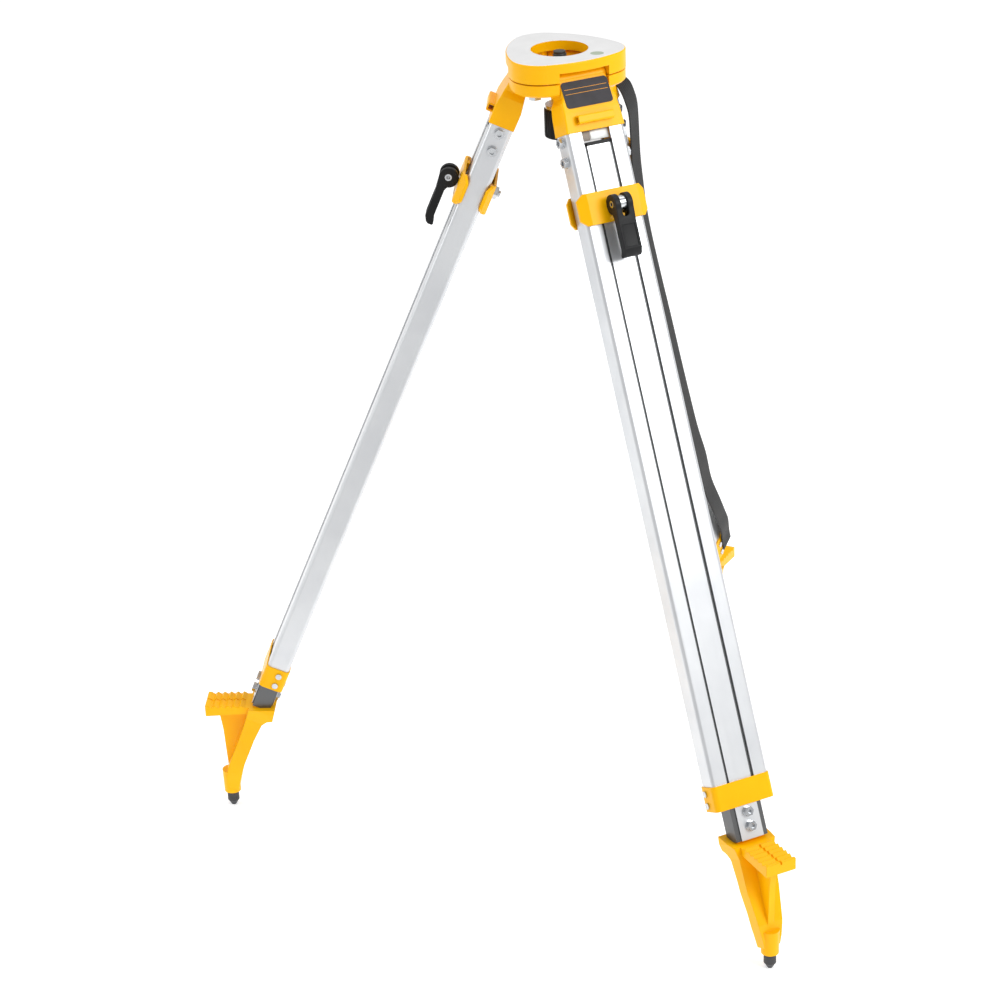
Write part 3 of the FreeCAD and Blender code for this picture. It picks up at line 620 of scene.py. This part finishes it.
# stops: out to the side, front to rear, and down from the rails' top, in mm, and share of width
strap = {
    "width": 25.0, "thickness": 1.6, "edgeRound": 0.4, "strips": 8,
    "stops": [
        (18.0, 18.7, -12.8, 0.2), (23.5, 18.8, -12.9, 0.2), (30.0, 20.5, -14.6, 0.42),
        (37.0, 21.5, -14.5, 0.75), (42.5, 21.0, -7.0, 0.95), (45.3, 20.2, 6.0, 1.0),
        (46.4, 19.4, 22.0, 1.0), (45.0, 16.0, 45.0, 1.0), (44.6, 3.0, 84.0, 1.0),
        (45.2, -6.0, 118.0, 1.0), (44.2, -10.5, 155.0, 1.0), (43.6, -12.6, 195.0, 1.0),
        (43.5, -13.2, 260.0, 1.0), (43.4, -12.6, 330.0, 1.0), (43.5, -13.2, 400.0, 1.0),
        (43.4, -12.8, 470.0, 1.0), (43.6, -12.0, 525.0, 1.0), (45.0, -9.6, 575.0, 1.0),
        (43.8, -8.6, 622.0, 1.0), (45.8, -2.5, 668.0, 1.0), (44.6, 5.0, 700.0, 1.0),
        (43.4, 9.8, 720.0, 1.0), (40.0, 12.8, 741.0, 1.0), (39.2, 13.0, 751.0, 1.0),
        (39.0, 13.0, 760.5, 1.0),
    ],
}


def smoothRoute(stops, perSpan=9):
    # points along a soft curve through the stops, as flexible webbing takes it
    route = []
    count = len(stops)
    for i in range(count - 1):
        before, here, there, after = (
            stops[max(i - 1, 0)], stops[i], stops[i + 1], stops[min(i + 2, count - 1)],
        )
        for step in range(perSpan + (i == count - 2)):
            t = step / perSpan
            route.append([
                0.5 * (2 * b + (c - a) * t + (2 * a - 5 * b + 4 * c - d) * t * t
                       + (3 * b - a - 3 * c + d) * t ** 3)
                for a, b, c, d in zip(before, here, there, after)
            ])
    return route


def makeStrap():
    # a ribbon of rows across the route, thickened and softened at its edges
    railTop = -localBox("leg_c_rail_left", "leg_c")[1].z
    route = smoothRoute(strap["stops"])
    across = strap["strips"]
    rows, run, length = [], 0.0, []
    previous = None
    for side, middle, down, share in route:
        centre = Vector((middle * mm, -side * mm, -railTop - down * mm))
        if previous is not None:
            run += (centre - previous).length
        previous = centre
        length.append(run)
        half = strap["width"] * mm / 2 * share
        rows.append([centre + Vector((half * (2 * k / across - 1), 0, 0)) for k in range(across + 1)])
    vertices = [legPlaces["leg_c"] @ p for row in rows for p in row]
    wide = across + 1
    faces = [
        (r * wide + k, r * wide + k + 1, (r + 1) * wide + k + 1, (r + 1) * wide + k)
        for r in range(len(rows) - 1) for k in range(across)
    ]
    mesh = bpy.data.meshes.new("carrying_strap_webbing")
    mesh.from_pydata(vertices, [], faces)
    uv = mesh.uv_layers.new(name="UVMap")
    for loop in mesh.loops:
        r, k = divmod(loop.vertex_index, wide)
        uv.data[loop.index].uv = (k / across * strap["width"] * mm, length[r])
    piece = bpy.data.objects.new("carrying_strap_webbing", mesh)
    bpy.context.scene.collection.objects.link(piece)
    applyModifier(piece, "SOLIDIFY", thickness=strap["thickness"] * mm, offset=0)
    applyModifier(
        piece, "BEVEL", width=strap["edgeRound"] * mm, segments=2, limit_method="ANGLE",
        angle_limit=math.radians(60),
    )
    editAll(piece, lambda: bpy.ops.mesh.normals_make_consistent(inside=False))
    smooth(piece, 50)
    finishPiece(piece, nodeBody("carrying_strap"), webbing)
    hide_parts("carrying_strap")
    print("strap length", round(run, 4))


makeStrap()

screwStyle = {
    "pitch": 2.309 * mm, "depth": 1.1 * mm, "turnSteps": 32, "bottom": -11.4 * mm, "tooth": 0.48,
    "edgeRound": 0.5 * mm,
}


def makeScrew():
    low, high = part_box("fixing_screw")
    radius = (high.x - low.x) / 2
    pitch, bottom = screwStyle["pitch"], screwStyle["bottom"]
    root = radius - screwStyle["depth"]
    toothHalf = pitch * screwStyle["tooth"]
    deselectAll()
    # one tooth outline, wound up the shank
    bpy.ops.mesh.primitive_circle_add(
        vertices=4, radius=toothHalf, location=(0, 0, 0), rotation=(math.radians(90), 0, 0),
    )
    coil = bpy.context.object
    coil.name = "fixing_screw_thread"
    bpy.ops.object.transform_apply(location=True, rotation=True, scale=True)
    squeeze = Matrix.Diagonal((screwStyle["depth"] / toothHalf, 1, 1, 1))
    start = Matrix.Translation((root, 0, bottom + pitch / 2))
    coil.data.transform(start @ squeeze)
    turns = int((high.z - bottom - pitch) / pitch)
    applyModifier(
        coil, "SCREW", screw_offset=pitch, iterations=turns, axis="Z",
        steps=screwStyle["turnSteps"], render_steps=screwStyle["turnSteps"],
    )
    body = tidyCopy("fixing_screw", "fixing_screw_core")
    # the shank under the thread shrinks to the thread's root
    for vertex in body.data.vertices:
        spot = vertex.co
        reach = math.hypot(spot.x, spot.y)
        if spot.z > bottom - 0.1 * mm and reach > root:
            spot.x *= root / reach
            spot.y *= root / reach
    applyModifier(
        body, "BEVEL", width=screwStyle["edgeRound"], segments=2, limit_method="ANGLE",
        angle_limit=math.radians(35),
    )
    only(body)
    coil.select_set(True)
    bpy.ops.object.join()
    editAll(body, lambda: bpy.ops.mesh.normals_make_consistent(inside=False))
    smooth(body, 30)
    body.name = "fixing_screw_cut"
    finishPiece(body, nodeBody("fixing_screw"), darkSteel)
    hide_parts("fixing_screw")


makeScrew()
print("fixing screw made")

stage = {
    "floorSize": 30.0, "floorColor": "FBFBFB", "floorGlow": 0.4, "worldColor": "FFFFFF",
    "worldStrength": 0.6, "cardSize": (1.9, 2.0), "cardPlace": (-0.65, -1.55),
    "cardLift": 4 * mm, "cardColor": "DEDEDE", "target": (0, 0, -0.45),
}
# each area light's place, its two sides in metres, and its power in watts
lamps = {
    "key": ((2.8, -1.9, 1.9), (1.8, 1.8), 76),
    "fill": ((-2.6, -1.6, 1.0), (1.5, 2.0), 2),
    "left": ((-3.0, 0.1, 0.9), (1.2, 2.0), 22),
    "top": ((0.2, 0.5, 2.6), (2.2, 2.2), 30),
}


def makeFloor():
    low = cadBox[0][2]
    bpy.ops.mesh.primitive_plane_add(size=stage["floorSize"], location=(0, 0, low))
    floor = bpy.context.object
    floor.name = "floor"
    material, _, shader, _ = newMaterial("Matt white floor")
    shader.inputs["Base Color"].default_value = hexColor(stage["floorColor"])
    shader.inputs["Roughness"].default_value = 0.9
    shader.inputs["Specular IOR Level"].default_value = 0.1
    shader.inputs["Emission Color"].default_value = hexColor(stage["floorColor"])
    shader.inputs["Emission Strength"].default_value = stage["floorGlow"]
    floor.data.materials.append(material)


def makeCard():
    # a grey card on the floor in front, out of frame, which the leg faces turned that way reflect
    low = cadBox[0][2]
    bpy.ops.mesh.primitive_plane_add(size=1, location=(0, 0, 0))
    card = bpy.context.object
    card.name = "grey_card"
    width, depth = stage["cardSize"]
    place = Matrix.Translation((*stage["cardPlace"], low + stage["cardLift"]))
    card.data.transform(place @ Matrix.Diagonal((width, depth, 1, 1)))
    card.visible_camera = False
    card.visible_shadow = False
    material, _, shader, _ = newMaterial("Grey card")
    shader.inputs["Base Color"].default_value = hexColor(stage["cardColor"])
    shader.inputs["Roughness"].default_value = 1.0
    shader.inputs["Specular IOR Level"].default_value = 0.0
    card.data.materials.append(material)


def addLight(name, place, size, power):
    data = bpy.data.lights.new(name, "AREA")
    data.shape = "RECTANGLE"
    data.size, data.size_y = size
    data.energy = power
    light = bpy.data.objects.new(name, data)
    light.location = place
    aim = Vector(stage["target"]) - Vector(place)
    light.rotation_euler = aim.to_track_quat("-Z", "Y").to_euler()
    bpy.context.scene.collection.objects.link(light)


def makeLights():
    world = bpy.data.worlds.new("Studio")
    world.use_nodes = True
    background = world.node_tree.nodes["Background"]
    background.inputs["Color"].default_value = hexColor(stage["worldColor"])
    background.inputs["Strength"].default_value = stage["worldStrength"]
    bpy.context.scene.world = world
    for name, lamp in lamps.items():
        addLight(name, *lamp)


def makeCamera():
    # a long lens a little above the head, as the tripod is usually shown
    lens = {
        "place": (0.0960, -3.1829, 0.9008), "yaw": -3.28, "pitch": 24.46, "roll": -2.34,
        "focal": 106.12, "sensor": 36.0,
    }
    yaw, pitch, roll = (math.radians(lens[k]) for k in ("yaw", "pitch", "roll"))
    forward = Vector((
        math.sin(yaw) * math.cos(pitch), math.cos(yaw) * math.cos(pitch), -math.sin(pitch),
    ))
    right = Vector((math.cos(yaw), -math.sin(yaw), 0))
    up = right.cross(forward)
    tiltedRight = right * math.cos(roll) + up * math.sin(roll)
    tiltedUp = up * math.cos(roll) - right * math.sin(roll)
    data = bpy.data.cameras.new("camera")
    data.lens = lens["focal"]
    data.sensor_width = lens["sensor"]
    data.clip_end = 100
    camera = bpy.data.objects.new("camera", data)
    matrix = Matrix((tiltedRight, tiltedUp, -forward)).transposed().to_4x4()
    matrix.translation = Vector(lens["place"])
    camera.matrix_world = matrix
    bpy.context.scene.collection.objects.link(camera)
    bpy.context.scene.camera = camera


makeFloor()
makeCard()
makeLights()
makeCamera()
bpy.context.scene.view_settings.view_transform = "Standard"
print("stage set")
